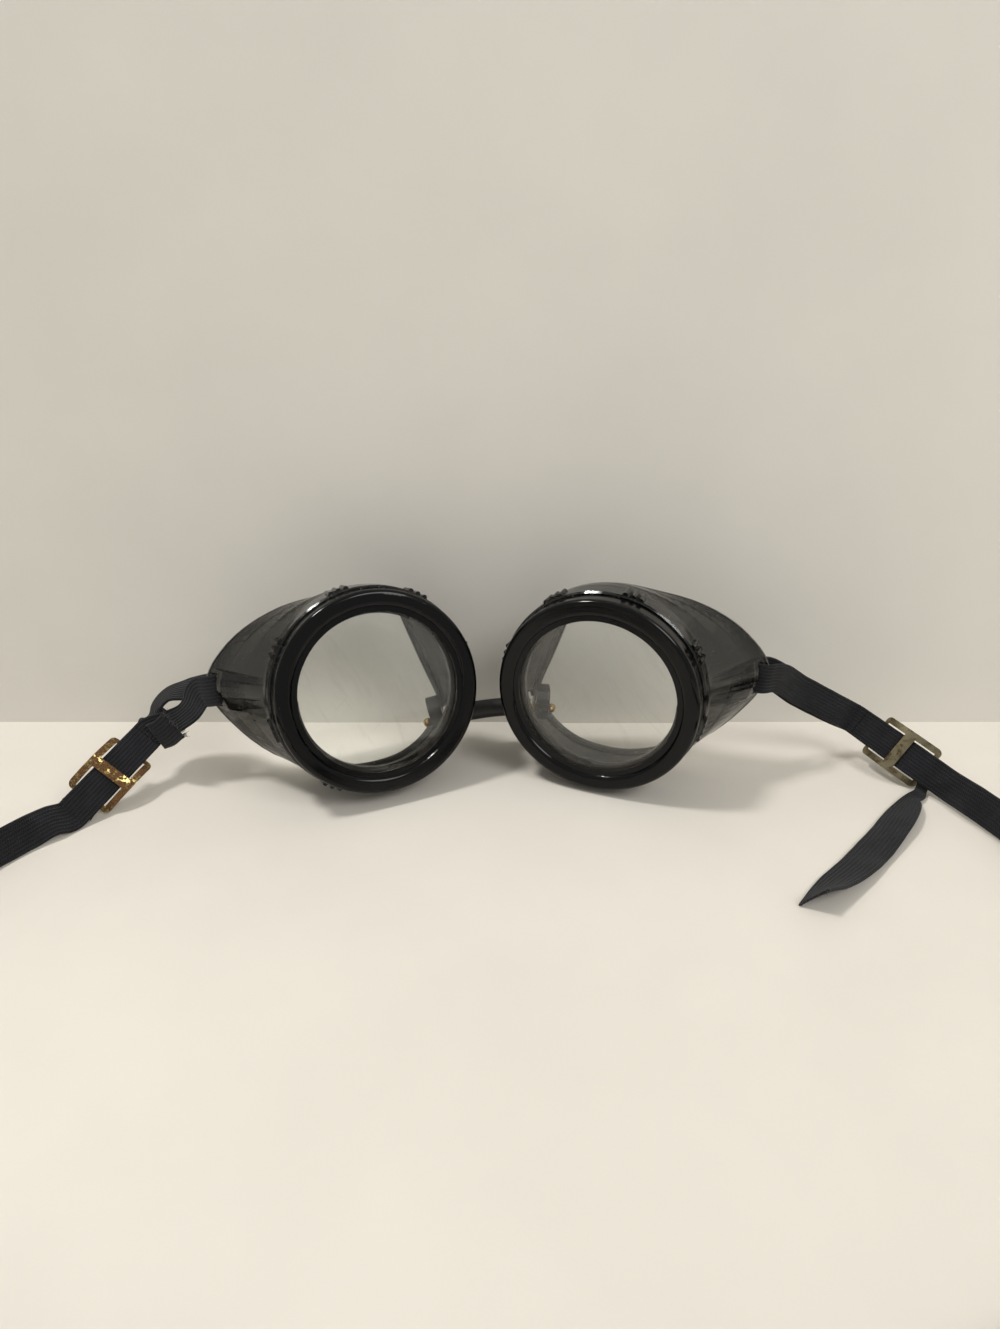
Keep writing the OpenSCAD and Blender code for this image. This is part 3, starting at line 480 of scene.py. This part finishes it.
loop_left_rows = [
    (-104.26, 67.265, 16.665, *UP_L), (-103.609, 68.242, 17.224, *UP_L),
    (-98.311, 70.126, 19, -0.503, 0.664, 0.553), (-94.111, 70.226, 21.5, -0.321, 0.803, 0.502),
    (-90.511, 70.326, 24.8, -0.355, 0.608, 0.71), (-87.156, 70.839, 29.738, *LUG_L),
    (-84.953, 69.776, 30.402, *LUG_L), (-83.416, 69.467, 30.754, *LUG_L),
    (-81.924, 69.928, 30.897, *LUG_L), (-80.878, 71.037, 30.795, *LUG_L),
    (-80.558, 72.495, 30.473, *LUG_L), (-81.049, 73.913, 30.019, *LUG_L),
    (-82.22, 74.91, 29.554, *LUG_L), (-84.423, 75.973, 28.89, *LUG_L),
    (-89.411, 76.826, 28.4, -0.269, 0.861, 0.431), (-94.611, 77.526, 27.3, -0.319, 0.924, 0.212),
    (-100.211, 77.226, 25.6, -0.389, 0.921, 0), (-103.411, 75.526, 22.2, -0.465, 0.879, 0.103),
    (-103.211, 73.226, 19.6, -0.628, 0.576, 0.523), (-104.042, 68.866, 16.638, *UP_L),
    (-104.693, 67.89, 16.078, *UP_L),
]
loop_right_rows = [
    (117.125, 81.081, 13.656, *UP_R), (116.343, 82.058, 14.008, *UP_R),
    (109.389, 81.526, 18, 0.399, 0.21, 0.893), (96.089, 79.326, 25.8, 0.153, 0.204, 0.967),
    (84.668, 73.202, 33.231, *LUG_R), (82.482, 71.952, 33.514, *LUG_R),
    (80.942, 71.525, 33.691, *LUG_R), (79.425, 71.897, 33.829, *LUG_R),
    (78.337, 72.967, 33.89, *LUG_R), (77.969, 74.45, 33.858, *LUG_R),
    (78.42, 75.947, 33.742, *LUG_R), (79.569, 77.058, 33.572, *LUG_R),
    (81.755, 78.308, 33.29, *LUG_R), (96.489, 81.326, 24.2, 0.153, 0.204, 0.967),
    (109.889, 83.326, 16.6, 0.399, 0.21, 0.893), (116.891, 82.674, 13.516, *UP_R),
    (117.673, 81.696, 13.165, *UP_R),
]
tail_left_rows = [
    (-104.793, 67.74, 15.992, *UP_L), (-111.928, 57.038, 9.857, *UP_L),
    (-118.561, 47.088, 4.152, *UP_L),
]
tail_right_rows = [
    (117.793, 81.546, 13.111, *UP_R), (126.363, 70.834, 9.254, *UP_R),
    (129.17, 67.326, 7.991, *UP_R), (130.072, 66.198, 7.585, *UP_R),
    (130.936, 64.719, 6.658, 0.588, -0.035, 0.612), (131.181, 63.135, 4.948, 0.444, -0.181, 0.269),
    (130.675, 61.944, 2.698, 0.291, -0.244, 0.019), (129.744, 60.896, 1.324, 0.235, -0.264, -0.068),
    (128.687, 59.232, 1.381, 0.241, -0.301, -0.108), (125.089, 56.526, 1.5, 0.366, -0.335, 0.061),
    (121.889, 52.526, 1.9, 0.578, -0.498, 0.241), (116.789, 46.526, 2.1, 0.694, -0.654, 0.302),
    (109.489, 38.526, 1.7, 0.683, -0.703, 0.201), (102.789, 31.726, 1.4, 0.704, -0.704, 0.101),
    (96.289, 25.526, 1.6, 0.672, -0.712, 0.204), (87.389, 17.926, 2.4, 0.584, -0.701, 0.409),
    (78.889, 10.426, 4.2, 0.381, -0.435, 0.816),
]
end_left_rows = [
    (-101.111, 66.726, 16.8, -0.763, 0.131, 0.633), (-97.911, 65.826, 18.6, -0.83, 0.207, 0.518),
    (-94.711, 65.726, 21.4, -0.885, 0.26, 0.385),
]


def ragged(at, total, a, f):
    """Wears the cut end: it spreads a little and thins."""
    near = np.clip((at - total + 1.6) / 1.6, 0, 1)[:, None]
    return a * (1 + 0.05 * near), f * (1 - 0.35 * near)


headband = strap("elastic_headband", band_rows, seed=3)
loop_left = strap("elastic_loop_left", loop_left_rows, pitch=0.35, seed=5)
loop_right = strap("elastic_loop_right", loop_right_rows, pitch=0.35, seed=7)
tail_left = strap("elastic_tail_left", tail_left_rows, shape=ragged, seed=9)
tail_right = strap("elastic_tail_right", tail_right_rows, shape=ragged, seed=11)
end_left = strap("elastic_end_left", end_left_rows, shape=ragged, seed=13, yarn_highlight_and_fade=rgb(38, 38, 42))
for obj, node in ((headband, "headband"), (loop_left, "headband_loop_left"),
                  (loop_right, "headband_loop_right"), (tail_left, "headband_tail_left"),
                  (tail_right, "headband_tail_right"), (end_left, "headband_end_left")):
    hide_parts(node)
for obj in (headband, tail_left, tail_right, end_left):
    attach(obj, ROOT)


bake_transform(loop_left)
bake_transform(loop_right)


def frayed(name, rows, body, count, seed, reach=2.6):
    """Loose threads standing out of a cut end."""
    run = smooth_run(rows, 12)
    tip, back = run[-1, :3], run[-3, :3]
    along = norm(tip - back)
    up = run[-1, 3:]
    across = norm(up - along * np.dot(up, along))
    face = np.cross(along, across)
    rng = random.Random(seed)
    verts, faces = [], []
    for _ in range(count):
        u = rng.choice((rng.uniform(-1, 1), rng.uniform(0.75, 1.0), -rng.uniform(0.75, 1.0)))
        p = tip + across * u * BAND_W * 0.47 + face * rng.uniform(-0.3, 0.3) - along * 0.3
        d = norm(along * rng.uniform(0.5, 1.2) + across * (0.5 * u + rng.uniform(-0.5, 0.5))
                 + face * rng.uniform(-0.6, 0.6))
        bend = np.array([rng.uniform(-1, 1) for _ in range(3)]) * 0.16
        size, steps = rng.uniform(0.35, 1.0) * reach, 7
        width = rng.uniform(0.05, 0.1)
        side = norm(np.cross(d, (0.3, 0.5, 0.8)))
        other = np.cross(d, side)
        first = len(verts)
        for i in range(steps + 1):
            r = width * (1 - 0.5 * i / steps)
            for q in range(5):
                t = 2 * math.pi * q / 5
                verts.append(tuple((p + (side * math.cos(t) + other * math.sin(t)) * r) * MM))
            p = p + d * size / steps
            d = norm(d + bend)
        for i in range(steps):
            for q in range(5):
                b = first + i * 5
                faces.append((b + q, b + (q + 1) % 5, b + 5 + (q + 1) % 5, b + 5 + q))
        faces.append(tuple(range(first + 4, first - 1, -1)))
        faces.append(tuple(range(first + steps * 5, first + steps * 5 + 5)))
    mesh = bpy.data.meshes.new(name)
    mesh.from_pydata(verts, [], faces)
    mesh.polygons.foreach_set("use_smooth", [True] * len(mesh.polygons))
    obj = placed(name, mesh)
    mesh.materials.append(loose)
    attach(obj, body)


loose = threads("loose_threads")
frayed("frayed_end_left", end_left_rows, ROOT, 46, 21)
frayed("frayed_tail_left", tail_left_rows, ROOT, 14, 22, 1.2)
frayed("frayed_tail_right", tail_right_rows, ROOT, 14, 23, 1.2)


# ---------------------------------------------------------------- table, wall and lamps
def backdrop(name, corners, colour, rough, one_sided=False):
    """A faintly mottled plain sheet; a one-sided one is clear from behind."""
    mesh = bpy.data.meshes.new(name)
    mesh.from_pydata([mm(*c) for c in corners], [], [(0, 1, 2, 3)])
    obj = placed(name, mesh)
    t = Tree(name)
    own = t.place()
    mottle = t.noise(own, 9, 4, 0.6)
    grain = t.noise(own, 900, 2, 0.6)
    tone = t.mix(t.ramp(mottle, 0.3, 0.7), colour, tuple(c * 0.94 for c in colour[:3]) + (1,))
    surface = t.principled(Base_Color=tone, Roughness=rough, Normal=t.bump(grain, 0.00005, 0.25),
                           Specular_IOR_Level=0.25)
    if one_sided:
        away = t.node("ShaderNodeNewGeometry").outputs["Backfacing"]
        surface = t.mixed(away, surface, t.out("ShaderNodeBsdfTransparent"))
    mesh.materials.append(t.finish(surface))


WALL_Y, WALL_SIZE, TABLE = 105.9, 900, 3000  # mm
backdrop("table", [(-TABLE, -TABLE, 0), (TABLE, -TABLE, 0), (TABLE, TABLE, 0), (-TABLE, TABLE, 0)],
         rgb(226, 221, 212), 0.5)
backdrop("wall", [(-WALL_SIZE, WALL_Y, 0), (WALL_SIZE, WALL_Y, 0), (WALL_SIZE, WALL_Y, WALL_SIZE),
                  (-WALL_SIZE, WALL_Y, WALL_SIZE)], rgb(230, 227, 220), 0.7, True)


def lamp(name, where, aim, size, watts, colour):
    """A round soft lamp, in metres and watts."""
    data = bpy.data.lights.new(name, "AREA")
    data.shape, data.size, data.energy, data.color = "DISK", size, watts, colour
    obj = placed(name, data)
    obj.location = where
    obj.rotation_euler = (Vector(aim) - Vector(where)).to_track_quat("-Z", "Y").to_euler()


AIM = (0, 0.05, 0.02)  # metres: the middle of the goggles
lamp("key", (-0.45, 0.02, 0.95), AIM, 0.16, 4.8, (1.0, 0.98, 0.95))
lamp("fill", (0.55, -0.45, 0.75), AIM, 0.45, 3.4, (1.0, 0.99, 0.97))

world = bpy.data.worlds.new("room")
bpy.context.scene.world = world
world.use_nodes = True
w = world.node_tree
w.nodes.clear()
path = w.nodes.new("ShaderNodeLightPath")
seen = w.nodes.new("ShaderNodeMath")
seen.operation = "MAXIMUM"
w.links.new(path.outputs["Is Camera Ray"], seen.inputs[0])
w.links.new(path.outputs["Is Transmission Ray"], seen.inputs[1])
room = w.nodes.new("ShaderNodeBackground")
room.inputs["Color"].default_value = rgb(240, 238, 233)
room.inputs["Strength"].default_value = 0.54
pale = w.nodes.new("ShaderNodeBackground")
pale.inputs["Color"].default_value = rgb(226, 221, 211)
pale.inputs["Strength"].default_value = 1.0
both = w.nodes.new("ShaderNodeMixShader")
w.links.new(seen.outputs[0], both.inputs[0])
w.links.new(room.outputs[0], both.inputs[1])
w.links.new(pale.outputs[0], both.inputs[2])
end = w.nodes.new("ShaderNodeOutputWorld")
w.links.new(both.outputs[0], end.inputs["Surface"])

bpy.context.scene.view_settings.view_transform = "Standard"
